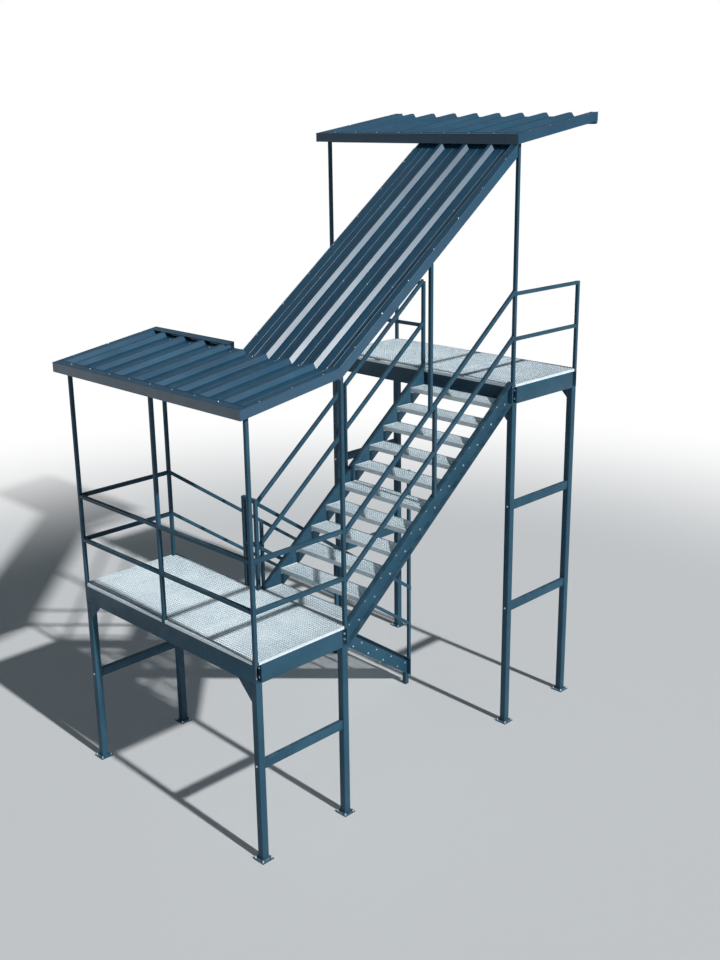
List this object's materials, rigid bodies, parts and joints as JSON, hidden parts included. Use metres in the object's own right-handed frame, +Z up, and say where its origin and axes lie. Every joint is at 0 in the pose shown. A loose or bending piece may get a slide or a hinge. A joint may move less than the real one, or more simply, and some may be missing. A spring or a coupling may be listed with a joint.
{
  "type": "fire escape stair",
  "caption": "Roofed outdoor fire escape stair with straight flights side by side, a half-way landing, an upper landing, tube railings and ribbed sheet roofs.",
  "frame": {"origin": "middle of the bounding box's footprint, on the floor under the base plates", "axes": "+X along the building wall, to the right as seen facing it; +Y towards the wall; +Z up"},
  "size_m": [3.16, 5.415, 7.2948],
  "materials": {
    "frame_paint": "satin powder coat over galvanised steel",
    "galvanised_grating": "hot-dip galvanised",
    "roof_sheet": "satin coil coating"
  },
  "bodies": {
    "root": {"base_plates": "frame_paint", "lower_columns": "frame_paint", "upper_columns": "frame_paint", "haunches": "frame_paint", "lower_front_beam": "frame_paint", "lower_back_beam": "frame_paint", "upper_front_beam": "frame_paint", "upper_back_beam": "frame_paint", "side_beams": "frame_paint", "cross_rails": "frame_paint", "lower_deck": "galvanised_grating", "upper_deck": "galvanised_grating", "lower_stringers": "frame_paint", "lower_treads": "galvanised_grating", "lower_feet": "frame_paint", "upper_stringers": "frame_paint", "upper_treads": "galvanised_grating", "lower_landing_posts": "frame_paint", "lower_top_rails": "frame_paint", "lower_mid_rails": "frame_paint", "lower_flight_posts": "frame_paint", "lower_flight_handrails": "frame_paint", "lower_flight_mid_rails": "frame_paint", "upper_flight_posts": "frame_paint", "upper_flight_handrails": "frame_paint", "upper_flight_mid_rails": "frame_paint", "upper_landing_posts": "frame_paint", "upper_top_rails": "frame_paint", "upper_mid_rails": "frame_paint", "lower_roof_purlins": "frame_paint", "lower_roof_rafters": "frame_paint", "lower_roof_sheet": "roof_sheet", "lower_roof_end_flashings": "roof_sheet", "lower_roof_side_flashings": "roof_sheet", "stair_roof_posts": "frame_paint", "stair_roof_rafters": "frame_paint", "stair_roof_purlins": "frame_paint", "stair_roof_sheet": "roof_sheet", "stair_roof_flashings": "roof_sheet", "upper_roof_beam": "frame_paint", "upper_roof_wall_beam": "frame_paint", "upper_roof_rafters": "frame_paint", "upper_roof_sheet": "roof_sheet", "upper_roof_front_flashing": "roof_sheet", "upper_roof_side_flashings": "roof_sheet"}
  },
  "joints": []
}
